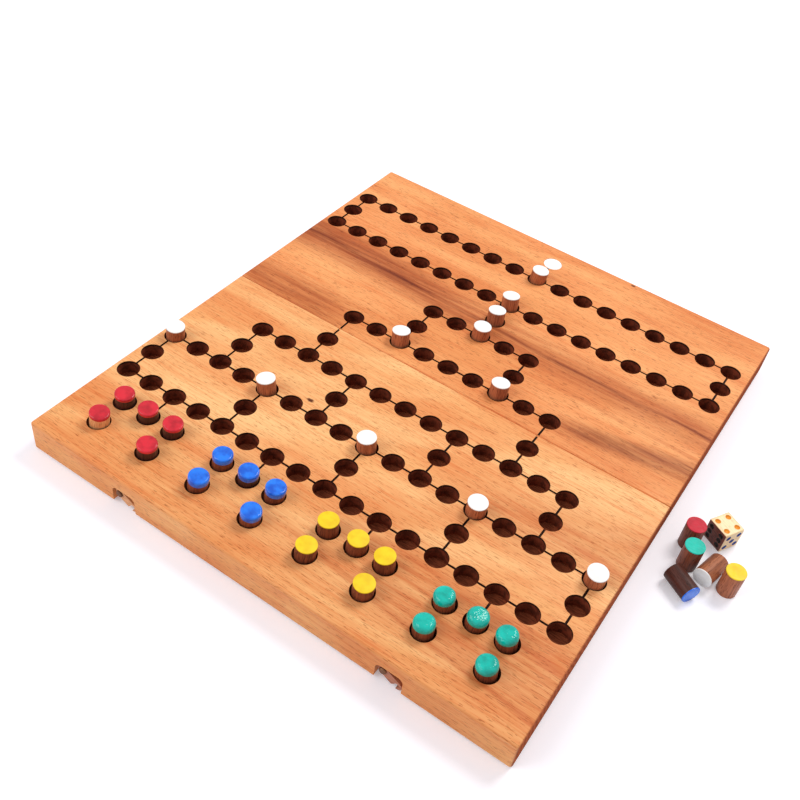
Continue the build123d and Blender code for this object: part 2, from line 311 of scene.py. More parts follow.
# %% Node group: long grain
long_grain, wire, source, result = new_group(
    "long_grain",
    {
        "Place": (0.0, 0.0, 0.0),
        "Light": (0.8, 0.5, 0.3, 1.0),
        "Dark": (0.5, 0.25, 0.12, 1.0),
        "Pore": (0.2, 0.08, 0.03, 1.0),
        "Wander": 6.0,
        "Figure Width": 14.0,
        "Streak Width": 0.75,
        "Streak Depth": 0.5,
        "Pore Length": 4.5,
        "Pore Width": 0.34,
        "Pore Depth": 0.62,
    },
    {"Color": "NodeSocketColor", "Height": "NodeSocketFloat"},
)
along, across, through = wire.parts(source["Place"])
drift = wire.noise(wire.vector("MULTIPLY", source["Place"], (0.011, 0.03, 0.03)), detail=1.0)
drift = wire.math("MULTIPLY", wire.math("SUBTRACT", drift, 0.5), source["Wander"])
across = wire.math("ADD", across, drift)
through = wire.math("ADD", through, drift)
figure = wire.noise(
    wire.join(
        wire.math("MULTIPLY", along, 0.012),
        wire.math("DIVIDE", across, source["Figure Width"]),
        wire.math("DIVIDE", through, source["Figure Width"]),
    ),
    detail=3.0,
    roughness=0.6,
)
figure = wire.step(figure, 0.32, 0.70)
streak = wire.noise(
    wire.join(
        wire.math("MULTIPLY", along, 0.022),
        wire.math("DIVIDE", across, source["Streak Width"]),
        wire.math("DIVIDE", through, source["Streak Width"]),
    ),
    detail=4.0,
    roughness=0.65,
)
streak = wire.step(streak, 0.42, 0.66)
pore = wire.noise(
    wire.join(
        wire.math("DIVIDE", along, source["Pore Length"]),
        wire.math("DIVIDE", across, source["Pore Width"]),
        wire.math("DIVIDE", through, source["Pore Width"]),
    ),
    detail=1.0,
    roughness=0.4,
)
pore = wire.step(pore, 0.62, 0.68)
streak_amount = wire.math("MULTIPLY", streak, source["Streak Depth"])
tone = wire.math("ADD", wire.math("MULTIPLY", figure, 0.5), streak_amount, clamp=True)
grain_colour = wire.mix(tone, source["Light"], source["Dark"])
pore_amount = wire.math("MULTIPLY", pore, source["Pore Depth"])
wire.feed(result["Color"], wire.mix(pore_amount, grain_colour, source["Pore"]))
hills = wire.math("MULTIPLY", streak, -0.25)
wire.feed(result["Height"], wire.math("SUBTRACT", hills, pore))
print("group long_grain has", len(long_grain.nodes), "nodes")

# %% Node group: end grain
end_grain, wire, source, result = new_group(
    "end_grain",
    {
        "Place": (0.0, 0.0, 0.0),
        "Light": (0.5, 0.25, 0.12, 1.0),
        "Dark": (0.25, 0.1, 0.05, 1.0),
        "Ring Width": 3.0,
    },
    {"Color": "NodeSocketColor"},
)
across_grain = wire.vector("MULTIPLY", source["Place"], (0.0, 1.0, 1.0))
from_heart = wire.vector("LENGTH", wire.vector("ADD", across_grain, (0.0, 21.0, -64.0)))
wobble = wire.noise(wire.scaled(across_grain, 0.05), detail=2.0)
rings = wire.math("DIVIDE", from_heart, source["Ring Width"])
rings = wire.math("ADD", rings, wire.math("MULTIPLY", wobble, 2.0))
rings = wire.math("SINE", wire.math("MULTIPLY", rings, 6.283))
speckle = wire.noise(wire.scaled(across_grain, 2.2), detail=2.0, roughness=0.6)
speckle = wire.step(speckle, 0.5, 0.68)
tone = wire.math("ADD", wire.math("MULTIPLY", rings, 0.22), wire.math("MULTIPLY", speckle, 0.55))
tone = wire.math("ADD", tone, 0.2, clamp=True)
wire.feed(result["Color"], wire.mix(tone, source["Light"], source["Dark"]))

# %% Node group: band of darker wood tone, also used for painted shade
wood_tone_and_shade_band, wire, source, result = new_group(
    "wood_tone_and_shade_band",
    {
        "Place": (0.0, 0.0, 0.0),
        "Middle": 0.0,
        "Half Width": 10.0,
        "Slope": 0.0,
        "Wave": 8.0,
        "Clear At": -900.0,
        "Full At": -800.0,
    },
    {"Mask": "NodeSocketFloat"},
)
along, across, through = wire.parts(source["Place"])
sway = wire.noise(wire.vector("MULTIPLY", source["Place"], (0.012, 0.02, 0.02)), detail=1.0)
sway = wire.math("MULTIPLY", wire.math("SUBTRACT", sway, 0.5), source["Wave"])
middle = wire.math("ADD", source["Middle"], wire.math("MULTIPLY", along, source["Slope"]))
offset = wire.math("ABSOLUTE", wire.math("SUBTRACT", wire.math("ADD", across, sway), middle))
core = wire.step(wire.math("DIVIDE", offset, source["Half Width"]), 0.15, 1.25, 1.0, 0.0)
thread = wire.noise(wire.vector("MULTIPLY", source["Place"], (0.02, 0.32, 0.32)), detail=4.0)
thread = wire.step(thread, 0.3, 0.7, 0.45, 1.0)
reach = wire.step(along, source["Clear At"], source["Full At"])
wire.feed(result["Mask"], wire.math("MULTIPLY", wire.math("MULTIPLY", core, thread), reach))

# %% Node group: small knot
small_knot, wire, source, result = new_group(
    "small_knot",
    {"Place": (0.0, 0.0, 0.0), "Middle": (0.0, 0.0, 0.0), "Length": 3.0, "Width": 1.6},
    {"Mask": "NodeSocketFloat"},
)
away = wire.vector("SUBTRACT", source["Place"], source["Middle"])
along, across, through = wire.parts(away)
radius = wire.vector(
    "LENGTH",
    wire.join(
        wire.math("DIVIDE", along, source["Length"]),
        wire.math("DIVIDE", across, source["Width"]),
        0.0,
    ),
)
ragged = wire.noise(wire.scaled(source["Place"], 0.9), detail=2.0)
radius = wire.math("ADD", radius, wire.math("MULTIPLY", wire.math("SUBTRACT", ragged, 0.5), 0.8))
wire.feed(result["Mask"], wire.step(radius, 0.35, 1.1, 1.0, 0.0))

# %% Node group: drilled and burnt
burnt_wood, wire, source, result = new_group(
    "burnt_wood",
    {
        "Place": (0.0, 0.0, 0.0),
        "Top": 18.4,
        "Floor": 9.9,
        "Half Width": 138.0,
        "Half Length": 157.0,
    },
    {"Mask": "NodeSocketFloat", "Color": "NodeSocketColor"},
)
along, across, height = wire.parts(source["Place"])
below_top = wire.step(wire.math("SUBTRACT", source["Top"], height), 0.06, 0.22)
above_floor = wire.step(wire.math("SUBTRACT", height, source["Floor"]), -0.6, -0.3)
rim_from, rim_to = 1.6, 1.8
seam_from, seam_to = 0.62, 0.72
side_gap = wire.math("SUBTRACT", source["Half Width"], wire.math("ABSOLUTE", along))
inside_sides = wire.step(side_gap, rim_from, rim_to)
from_seam = wire.math("ABSOLUTE", across)
inside_seam = wire.step(from_seam, seam_from, seam_to)
edge_gap = wire.math("SUBTRACT", source["Half Length"], from_seam)
inside_edge = wire.step(edge_gap, rim_from, rim_to)
mask = wire.math("MULTIPLY", below_top, above_floor)
mask = wire.math("MULTIPLY", mask, inside_sides)
mask = wire.math("MULTIPLY", mask, wire.math("MULTIPLY", inside_seam, inside_edge))
soot = wire.noise(wire.scaled(source["Place"], 0.35), detail=3.0)
ash = wire.noise(wire.vector("MULTIPLY", source["Place"], (0.25, 1.6, 0.4)), detail=2.0)
floor_colour = wire.mix(wire.step(ash, 0.3, 0.7), screen_colour(184, 98, 62), screen_colour(134, 68, 42))
sooty = wire.step(soot, 0.35, 0.65)
wall_colour = wire.mix(sooty, screen_colour(138, 64, 40), screen_colour(94, 43, 27))
char_colour = screen_colour(40, 19, 12)
depth = wire.math("SUBTRACT", source["Top"], height)
wall_colour = wire.mix(wire.step(depth, 0.9, 1.7), char_colour, wall_colour)
on_floor = wire.step(wire.math("SUBTRACT", height, source["Floor"]), 0.02, 0.9, 1.0, 0.0)
wire.feed(result["Mask"], mask)
wire.feed(result["Color"], wire.mix(on_floor, wall_colour, floor_colour))

# %% [markdown]
# ## Board halves
#
# The halves are cut from different planks. The near one is pale gold with one small knot, and the
# far one is more orange and has a brown heartwood band across it. Both carry a painted sheen: the
# silky shimmer of the wood under light, painted as slanted darker stripes. The right-hand part of the
# near half also carries painted shade. The packed slabs already have every hole and groove, so they
# keep their shape and get a finish whose colours depend on where a point lies: end grain on the short
# sides, char inside holes and grooves, and long grain elsewhere.


# %% Start a material whose nodes read positions in millimetres
def start_material(name):
    """A material, the wiring of its nodes and its shader."""
    material = bpy.data.materials.new(name)
    material.use_nodes = True
    return material, Wiring(material.node_tree), material.node_tree.nodes["Principled BSDF"]


def object_millimetres(wiring, middle=None):
    """Object coordinates in millimetres, from the given middle or from the origin."""
    place = wiring.nodes.new("ShaderNodeTexCoord").outputs["Object"]
    if middle is not None:
        place = wiring.vector("SUBTRACT", place, middle)
    return wiring.scaled(place, 1 / MM)


def stored_millimetres(wiring, attribute):
    """The coordinates that a piece keeps in an attribute, already in millimetres."""
    reader = wiring.nodes.new("ShaderNodeAttribute")
    reader.attribute_name = attribute
    return reader.outputs["Vector"]


def board_finish(name, light, dark, pore, end_light, end_dark, shift, bands, knots, painted_sheen_tint, slant):
    """Lacquered board wood, with the darker places of this plank in bands and knots.

    A band is its tint, middle, half width, slope and wave, and the places along the grain where
    it is clear and where it is full. A knot is its middle, length and width.
    """
    material, wiring, shader = start_material(name)
    place = object_millimetres(wiring, (board_middle_x, 0.0, 0.0))
    grain_place = wiring.vector("ADD", place, shift)
    grain = wiring.group(long_grain, Place=grain_place, Light=light, Dark=dark, Pore=pore)
    colour = grain["Color"]
    for tint, middle, half_width, slope, wave, clear_at, full_at in bands:
        band = wiring.group(
            wood_tone_and_shade_band,
            Place=place,
            Middle=middle,
            Half_Width=half_width,
            Slope=slope,
            Wave=wave,
            Clear_At=clear_at,
            Full_At=full_at,
        )
        colour = wiring.mix(band["Mask"], colour, tint, "MULTIPLY")
    # Painted sheen: the silky shimmer of the wood under light, painted as darker stripes that slant
    # along the grain.
    sheen_along, sheen_across, _ = wiring.parts(grain_place)
    slanted = wiring.math("SUBTRACT", sheen_across, wiring.math("MULTIPLY", sheen_along, slant))
    stretched = wiring.vector("MULTIPLY", wiring.join(sheen_along, slanted, 0.0), (0.007, 0.032, 0.0))
    painted_sheen = wiring.noise(stretched, detail=2.0, distortion=0.6)
    colour = wiring.mix(wiring.step(painted_sheen, 0.36, 0.64, 0.0, 0.9), colour, painted_sheen_tint, "MULTIPLY")
    for middle, length, width in knots:
        knot = wiring.group(small_knot, Place=place, Middle=middle, Length=length, Width=width)
        colour = wiring.mix(knot["Mask"], colour, screen_colour(92, 44, 22))
    ends = wiring.group(end_grain, Place=grain_place, Light=end_light, Dark=end_dark)
    along = wiring.parts(place)[0]
    half_width_mm = board_half_width / MM
    at_end = wiring.step(wiring.math("ABSOLUTE", along), half_width_mm - 0.9, half_width_mm - 0.1)
    colour = wiring.mix(at_end, colour, ends["Color"])
    burnt = wiring.group(
        burnt_wood,
        Place=place,
        Top=board_top / MM,
        Floor=(board_top - hole_depth) / MM,
        Half_Width=half_width_mm,
        Half_Length=far_high.y / MM,
    )
    colour = wiring.mix(burnt["Mask"], colour, burnt["Color"])
    wiring.feed(shader.inputs["Base Color"], colour)
    lacquer = wiring.noise(wiring.scaled(place, 0.12), detail=3.0)
    gloss = wiring.step(lacquer, 0.3, 0.7, 0.42, 0.54)
    gloss = wiring.math("ADD", gloss, wiring.math("MULTIPLY", burnt["Mask"], 0.3))
    wiring.feed(shader.inputs["Roughness"], gloss)
    wiring.feed(shader.inputs["Normal"], wiring.bump(grain["Height"], 0.25, 0.12 * MM))
    lacquered = wiring.math("SUBTRACT", 1.0, at_end)
    wiring.feed(shader.inputs["Specular IOR Level"], wiring.math("MULTIPLY", lacquered, 0.15))
    return material


# %% Near half: pale gold, one knot, painted shade on the right
near_wood = board_finish(
    "near_board_wood",
    light=screen_colour(255, 200, 136),
    dark=screen_colour(236, 150, 90),
    pore=screen_colour(166, 86, 36),
    end_light=screen_colour(188, 104, 70),
    end_dark=screen_colour(120, 58, 38),
    shift=(0.0, 0.0, 0.0),
    bands=[
        (screen_colour(242, 226, 214), -150.0, 26.0, -0.05, 14.0, -900.0, -800.0),
        # Painted shade: this band and the one at -80 mm darken the right-hand part of the near half.
        # They follow the wood's figure but are deepened to stand in for light falling off towards the
        # right.
        (screen_colour(224, 188, 170), -108.0, 26.0, -0.1, 26.0, -20.0, 60.0),
        (screen_colour(226, 190, 172), -128.0, 2.2, -0.12, 8.0, -20.0, 20.0),
        # Painted shade, with the band at -108 mm: darker towards the right-hand side of the near half.
        (screen_colour(224, 190, 174), -80.0, 22.0, 0.3, 14.0, 20.0, 90.0),
    ],
    knots=[((-43.3, -56.5, 0.0), 2.6, 1.5)],
    # Tint of the painted sheen on the near half, in strongly slanted stripes.
    painted_sheen_tint=screen_colour(244, 220, 204),
    slant=0.33,
)

# %% Far half: orange with a heartwood band
far_wood = board_finish(
    "far_board_wood",
    light=screen_colour(252, 178, 114),
    dark=screen_colour(230, 134, 76),
    pore=screen_colour(148, 72, 30),
    end_light=screen_colour(180, 98, 66),
    end_dark=screen_colour(114, 54, 35),
    shift=(37.0, 211.0, 5.0),
    bands=[
        (screen_colour(212, 192, 186), 61.0, 15.0, -0.03, 8.0, -900.0, -800.0),
        (screen_colour(200, 172, 164), 60.0, 19.0, -0.03, 8.0, 40.0, -100.0),
        (screen_colour(182, 150, 140), 60.5, 1.8, -0.028, 9.0, -900.0, -800.0),
        (screen_colour(200, 174, 166), 9.0, 17.0, 0.0, 12.0, -50.0, -92.0),
        (screen_colour(156, 120, 106), 1.0, 8.0, 0.2, 9.0, 50.0, 88.0),
        (screen_colour(222, 204, 196), 42.0, 2.0, -0.03, 6.0, 30.0, 80.0),
    ],
    knots=[
        ((48.0, 154.5, 0.0), 1.8, 1.0),
        ((74.3, 98.5, 0.0), 0.7, 0.5),
        ((60.5, 104.8, 0.0), 0.5, 0.4),
    ],
    # Tint of the painted sheen on the far half, in nearly straight stripes.
    painted_sheen_tint=screen_colour(238, 220, 206),
    slant=0.06,
)


# %% Put the finishes on the slabs
def dress(node, material):
    """Gives a piece of the frame its finish."""
    piece = frame["nodes"][node]
    piece.data.materials.clear()
    piece.data.materials.append(material)


dress("board_near", near_wood)
dress("board_far", far_wood)

# %% [markdown]
# ## Goal spot
#
# The last place on the track is a round white spot that is painted, not drilled. The slab has a
# shallow recess there, so the paint is a low disc that fills it, with a rounded rim where the
# paint has pulled back from the wood.


# %% Select faces by a test, and work on them in edit mode
def only(piece):
    bpy.ops.object.select_all(action="DESELECT")
    piece.select_set(True)
    bpy.context.view_layer.objects.active = piece


def select_faces(piece, test):
    """Leaves the piece in edit mode with the faces selected that pass the test."""
    only(piece)
    bpy.ops.object.mode_set(mode="EDIT")
    bpy.ops.mesh.select_mode(type="FACE")
    bpy.ops.mesh.select_all(action="DESELECT")
    bpy.ops.object.mode_set(mode="OBJECT")
    for face in piece.data.polygons:
        face.select = test(face)
    bpy.ops.object.mode_set(mode="EDIT")


def select_edges(piece, test):
    """Leaves the piece in edit mode with the edges selected whose two ends pass the test."""
    only(piece)
    bpy.ops.object.mode_set(mode="EDIT")
    bpy.ops.mesh.select_mode(type="EDGE")
    bpy.ops.mesh.select_all(action="DESELECT")
    bpy.ops.object.mode_set(mode="OBJECT")
    points = piece.data.vertices
    for edge in piece.data.edges:
        edge.select = all(test(points[index].co) for index in edge.vertices)
    bpy.ops.object.mode_set(mode="EDIT")


def to_object_mode():
    bpy.ops.object.mode_set(mode="OBJECT")


# %% Paint finish
def paint_finish(name, colour, worn, roughness, brush_depth, attribute):
    """Brushed paint: colour drifts a little, and the brush leaves low soft ridges."""
    material, wiring, shader = start_material(name)
    place = stored_millimetres(wiring, attribute) if attribute else object_millimetres(wiring)
    drift = wiring.noise(wiring.scaled(place, 0.22), detail=2.0)
    wiring.feed(shader.inputs["Base Color"], wiring.mix(wiring.step(drift, 0.3, 0.75), colour, worn))
    ridges = wiring.noise(wiring.vector("MULTIPLY", place, (0.5, 1.3, 0.5)), detail=2.0)
    low, high = roughness
    wiring.feed(shader.inputs["Roughness"], wiring.step(ridges, 0.3, 0.7, low, high))
    wiring.feed(shader.inputs["Normal"], wiring.bump(ridges, 0.4, brush_depth))
    shader.inputs["Specular IOR Level"].default_value = 0.35
    return material


goal_paint = paint_finish(
    "goal_paint", screen_colour(255, 255, 254), screen_colour(247, 246, 243), (0.55, 0.7), 0.05 * MM, ""
)

# %% Goal spot
goal_recess = 0.6 * MM
goal_height = 0.55 * MM
goal_lift = 0.29 * MM
goal_x = board_middle_x - 1.5 * MM
goal_y = far_low.y + 139.35 * MM
bpy.ops.object.select_all(action="DESELECT")
bpy.ops.mesh.primitive_cylinder_add(
    vertices=48,
    radius=5.75 * MM,
    depth=goal_height,
    location=(goal_x, goal_y, board_top - goal_recess + goal_lift),
)
goal_spot = bpy.context.object
goal_spot.name = "goal_spot"
bpy.ops.object.transform_apply(location=True, rotation=True, scale=True)
select_edges(goal_spot, lambda point: point.z > board_top - 0.2 * MM)
bpy.ops.mesh.bevel(offset=0.2 * MM, segments=3)
to_object_mode()
goal_spot.data.materials.append(goal_paint)
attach(goal_spot, "far_half")

# %% [markdown]
# ## Pegs
#
# A peg is a short length of reddish-brown dowel with one painted end. Red, blue and green ends are
# dipped, so the paint is thick and laps down the side: least on red, and on green it has gathered
# in a dome. Yellow and white ends are brushed, so they are flat and end at a crisp edge, and so
# are all the spares. Each kind is modelled once, upright with its foot on the origin, and copied
# to every place. A copy keeps its upright coordinates in an attribute, so that the grain runs
# along the dowel however it leans or lies.

# %% Dowel finish
dowel_radius = 5.09 * MM
peg_length = 15.5 * MM
rim_margin = 0.01 * MM


def dowel_finish(name, light, dark, pore):
    material, wiring, shader = start_material(name)
    x, y, z = wiring.parts(stored_millimetres(wiring, "dowel_place"))
    place = wiring.join(z, x, y)
    grain = wiring.group(
        long_grain,
        Place=place,
        Light=light,
        Dark=dark,
        Pore=pore,
        Wander=3.0,
        Figure_Width=5.0,
        Streak_Width=0.8,
        Streak_Depth=0.5,
        Pore_Length=3.5,
        Pore_Width=0.32,
        Pore_Depth=0.7,
    )
    wiring.feed(shader.inputs["Base Color"], grain["Color"])
    wiring.feed(shader.inputs["Roughness"], wiring.step(grain["Height"], -1.0, 0.0, 0.6, 0.42))
    wiring.feed(shader.inputs["Normal"], wiring.bump(grain["Height"], 0.35, 0.1 * MM))
    shader.inputs["Specular IOR Level"].default_value = 0.2
    return material


dowel_woods = {
    name: dowel_finish(f"{name}_dowel", *[screen_colour(*tone) for tone in tones])
    for name, tones in {
        "red_brown": [(150, 80, 52), (88, 42, 28), (48, 22, 15)],
        "warm": [(196, 118, 80), (134, 70, 46), (78, 38, 24)],
        "dark": [(88, 46, 36), (50, 25, 20), (30, 14, 11)],
        "streaky": [(184, 114, 78), (112, 60, 40), (54, 28, 20)],
        "pale": [(240, 180, 124), (208, 138, 86), (150, 90, 52)],
    }.items()
}
print("dowel finishes:", ", ".join(dowel_woods))

# %% Paints
paints = {
    name: paint_finish(
        f"{name}_paint", screen_colour(*fresh), screen_colour(*worn), roughness, ridges, "dowel_place"
    )
    for name, fresh, worn, roughness, ridges in (
        ("red", (228, 38, 56), (186, 22, 40), (0.1, 0.2), 0.3 * MM),
        ("blue", (36, 132, 254), (16, 88, 208), (0.1, 0.2), 0.3 * MM),
        ("green", (0, 200, 182), (0, 164, 148), (0.04, 0.1), 0.6 * MM),
        ("yellow", (252, 218, 26), (240, 198, 16), (0.45, 0.6), 0.08 * MM),
        ("white", (255, 255, 254), (246, 245, 241), (0.55, 0.7), 0.08 * MM),
        ("flat_red", (202, 18, 46), (180, 14, 38), (0.5, 0.65), 0.08 * MM),
        ("flat_green", (4, 202, 180), (4, 184, 162), (0.5, 0.65), 0.08 * MM),
    )
}


# %% Model one peg of each kind
def model_peg(name, paint_lap, paint_round, paint_proud):
    """An upright peg: dowel up to the paint's lower rim, a step out to the paint, a soft top."""
    bpy.ops.object.select_all(action="DESELECT")
    wood_radius = dowel_radius - paint_proud
    wood_height = peg_length - paint_lap
    bpy.ops.mesh.primitive_cylinder_add(
        vertices=56, radius=wood_radius, depth=wood_height, location=(0, 0, wood_height / 2)
    )
    peg = bpy.context.object
    peg.name = name
    peg.data.materials.append(dowel_woods["red_brown"])
    peg.data.materials.append(paints["white"])
    bpy.ops.object.transform_apply(location=True, rotation=True, scale=True)
    select_faces(peg, lambda face: face.normal.z > 0.9)
    bpy.ops.mesh.extrude_region_move(TRANSFORM_OT_translate={"value": (0, 0, 0)})
    grow = dowel_radius / wood_radius
    bpy.ops.transform.resize(value=(grow, grow, 1), center_override=(0, 0, wood_height))
    bpy.ops.mesh.extrude_region_move(TRANSFORM_OT_translate={"value": (0, 0, paint_lap)})
    to_object_mode()
    select_edges(peg, lambda point: point.z > peg_length - rim_margin)
    bpy.ops.mesh.bevel(offset=paint_round, segments=8)
    to_object_mode()
    select_edges(peg, lambda point: point.z < rim_margin)
    bpy.ops.mesh.bevel(offset=0.3 * MM, segments=2)
    to_object_mode()
    if paint_lap > 1 * MM:
        lip_top = wood_height + rim_margin
        lip_radius = dowel_radius - rim_margin
        select_edges(peg, lambda point: point.z < lip_top and point.xy.length > lip_radius)
        bpy.ops.mesh.bevel(offset=min(paint_proud, paint_lap) * 0.6, segments=2)
        to_object_mode()
    bpy.ops.object.shade_smooth_by_angle(angle=math.radians(35))
    for face in peg.data.polygons:
        outside = face.center.xy.length > wood_radius * 0.99
        above = face.center.z > wood_height + 0.001 * MM
        lip_face = abs(face.center.z - wood_height) <= 0.06 * MM and outside
        face.material_index = 1 if above or lip_face else 0
    return peg


dipped_peg = model_peg("dipped_peg", 3.4 * MM, 1.0 * MM, 0.14 * MM)
rimmed_peg = model_peg("rimmed_peg", 1.9 * MM, 0.7 * MM, 0.14 * MM)
domed_peg = model_peg("domed_peg", 3.4 * MM, 2.3 * MM, 0.14 * MM)
brushed_peg = model_peg("brushed_peg", 0.5 * MM, 0.22 * MM, 0.05 * MM)
peg_patterns = (dipped_peg, rimmed_peg, domed_peg, brushed_peg)
for pattern in peg_patterns:
    print(pattern.name, "has", len(pattern.data.polygons), "faces")


# %% Place a copy for a node of the frame
def axis_of(node):
    """The way a standing peg points: the joint that lifts it slides along its own axis."""
    joint = next(j for j in frame["joints"] if j["child"] == node)
    return Vector(joint["axis"]).normalized()


def place_peg(node, pattern, paint, wood, axis, number):
    copy = pattern.copy()
    copy.data = pattern.data.copy()
    copy.name = f"{node}_painted"
    bpy.context.scene.collection.objects.link(copy)
    copy.data.materials[0] = dowel_woods[wood]
    copy.data.materials[1] = paints[paint]
    shift = Vector((17.3 * number, 9.1 * number, 23.7 * number))
    places = copy.data.attributes.new("dowel_place", "FLOAT_VECTOR", "POINT")
    for point, item in zip(copy.data.vertices, places.data):
        item.vector = point.co / MM + shift
    low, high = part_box(node)
    centre = (low + high) / 2
    turn = Vector((0, 0, 1)).rotation_difference(axis).to_matrix().to_4x4()
    copy.data.transform(Matrix.Translation(centre) @ turn @ Matrix.Translation((0, 0, -peg_length / 2)))
    copy.data.update()
    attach(copy, node)
    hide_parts(node)
    return copy


# %% Pegs in the homes
kinds = {
    "red": rimmed_peg,
    "blue": dipped_peg,
    "yellow": brushed_peg,
    "green": domed_peg,
}
wood_of = {"red_peg_4": "pale", "blue_peg_2": "dark"}
wood_of.update({f"red_peg_{number}": "dark" for number in (1, 2, 3, 5)})
placed = []
for colour, pattern in kinds.items():
    for number in range(1, 6):
        node = f"{colour}_peg_{number}"
        wood = wood_of.get(node, "red_brown")
        slot = f"{colour}_peg_paint"
        placed.append(place_peg(node, pattern, colour, wood, axis_of(node), len(placed) + 1))
print(len(placed), "players' pegs placed")

# %% Barricades
for number in range(1, 12):
    node = f"barricade_{number}"
    slot = "barricade_paint"
    placed.append(
        place_peg(node, brushed_peg, "white", "warm", axis_of(node), len(placed) + 1)
    )
print(len(placed), "pegs placed in all")


# %% Spare pegs beside the board
def heading(degrees):
    return Vector((math.cos(math.radians(degrees)), math.sin(math.radians(degrees)), 0))


upright = Vector((0, 0, 1))
spares = [
    ("spare_red_peg", brushed_peg, "flat_red", "red_brown", "red_peg_paint", upright),
    ("spare_green_peg", brushed_peg, "flat_green", "red_brown", "green_peg_paint", upright),
    ("spare_yellow_peg", brushed_peg, "yellow", "warm", "yellow_peg_paint", upright),
    ("spare_blue_peg", brushed_peg, "blue", "dark", "blue_peg_paint", heading(-31.4)),
    ("spare_barricade", brushed_peg, "white", "streaky", "barricade_paint", heading(256.3)),
]
for node, pattern, paint, wood, slot, axis in spares:
    placed.append(place_peg(node, pattern, paint, wood, axis, len(placed) + 1))
for pattern in peg_patterns:
    bpy.data.objects.remove(pattern)
print(len(placed), "pegs with the spares")

# %% [markdown]
# ## Die
#
# The die is a small cube of cream wood with softened edges and round pips. Each pip is a shallow
# bowl that a ball-shaped tool leaves, so balls are subtracted from a bevelled cube. The balls carry
# the pips' paint, and the cut faces take it over. One side is dark red-brown.

# %% Die finish
die_size = 12.4 * MM


def die_wood_finish(name, dark_side):
    material, wiring, shader = start_material(name)
    place = stored_millimetres(wiring, "die_place")
    grain = wiring.group(
        long_grain,
        Place=place,
        Light=screen_colour(255, 228, 176),
        Dark=screen_colour(240, 196, 140),
        Pore=screen_colour(205, 150, 96),
        Wander=2.0,
        Figure_Width=4.0,
        Streak_Width=0.6,
        Pore_Length=2.5,
        Pore_Width=0.3,
        Pore_Depth=0.35,
    )
    stain = wiring.noise(wiring.vector("MULTIPLY", place, (0.5, 0.4, 1.8)), detail=3.0)
    stained = wiring.mix(
        wiring.step(stain, 0.3, 0.7), screen_colour(128, 60, 40), screen_colour(82, 36, 26)
    )
    across = wiring.parts(place)[1]
    on_side = wiring.step(across, dark_side + 0.1, dark_side + 0.35, 1.0, 0.0)
    wiring.feed(shader.inputs["Base Color"], wiring.mix(on_side, grain["Color"], stained))
    wiring.feed(shader.inputs["Roughness"], wiring.step(grain["Height"], -1.0, 0.0, 0.55, 0.4))
    wiring.feed(shader.inputs["Normal"], wiring.bump(grain["Height"], 0.25, 0.08 * MM))
    return material


die_wood = die_wood_finish("die_wood", -die_size / 2 / MM)
pip_paints = {
    name: paint_finish(
        f"pip_{name}", screen_colour(*fresh), screen_colour(*worn), (0.35, 0.5), 0.04 * MM, "die_place"
    )
    for name, fresh, worn in (
        ("orange", (238, 152, 30), (222, 128, 20)),
        ("blue", (30, 74, 156), (22, 56, 128)),
        ("black", (34, 20, 16), (22, 12, 10)),
        ("red", (196, 36, 44), (170, 26, 34)),
        ("green", (18, 150, 112), (12, 124, 92)),
    )
}

# %% Cube with softened edges
bpy.ops.object.select_all(action="DESELECT")
bpy.ops.mesh.primitive_cube_add(size=die_size, location=(0, 0, 0))
die = bpy.context.object
die.name = "wooden_die"
only(die)
bpy.ops.object.mode_set(mode="EDIT")
bpy.ops.mesh.select_all(action="SELECT")
bpy.ops.mesh.bevel(offset=0.55 * MM, segments=3)
to_object_mode()
die.data.materials.append(die_wood)

# %% Bowls of the pips
pitch = 3.4 * MM
corners = [(-1, -1), (1, 1), (-1, 1), (1, -1)]
pip_layout = {
    1: [(0, 0)],
    2: corners[:2],
    3: corners[:2] + [(0, 0)],
    4: corners,
    5: corners + [(0, 0)],
    6: corners + [(-1, 0), (1, 0)],
}
sides = [
    (4, Vector((0, 0, 1)), Vector((1, 0, 0)), "orange"),
    (3, Vector((0, 0, -1)), Vector((1, 0, 0)), "green"),
    (5, Vector((1, 0, 0)), Vector((0, 1, 0)), "blue"),
    (2, Vector((-1, 0, 0)), Vector((0, 1, 0)), "red"),
    (6, Vector((0, -1, 0)), Vector((1, 0, 0)), "black"),
    (1, Vector((0, 1, 0)), Vector((1, 0, 0)), "red"),
]
ball_radius = 1.9 * MM
ball_rise = 1.12 * MM
balls = []
for value, normal, side_axis, paint in sides:
    up_axis = normal.cross(side_axis)
    for u, v in pip_layout[value]:
        middle = normal * (die_size / 2 + ball_rise) + side_axis * pitch * u + up_axis * pitch * v
        bpy.ops.object.select_all(action="DESELECT")
        bpy.ops.mesh.primitive_uv_sphere_add(
            segments=20, ring_count=12, radius=ball_radius, location=middle
        )
        ball = bpy.context.object
        ball.data.materials.append(pip_paints[paint])
        balls.append(ball)
bpy.ops.object.select_all(action="DESELECT")
for ball in balls:
    ball.select_set(True)
bpy.context.view_layer.objects.active = balls[0]
bpy.ops.object.join()
cutter = bpy.context.object
bpy.ops.object.transform_apply(location=True, rotation=True, scale=True)
print(len(balls), "pips on the die")

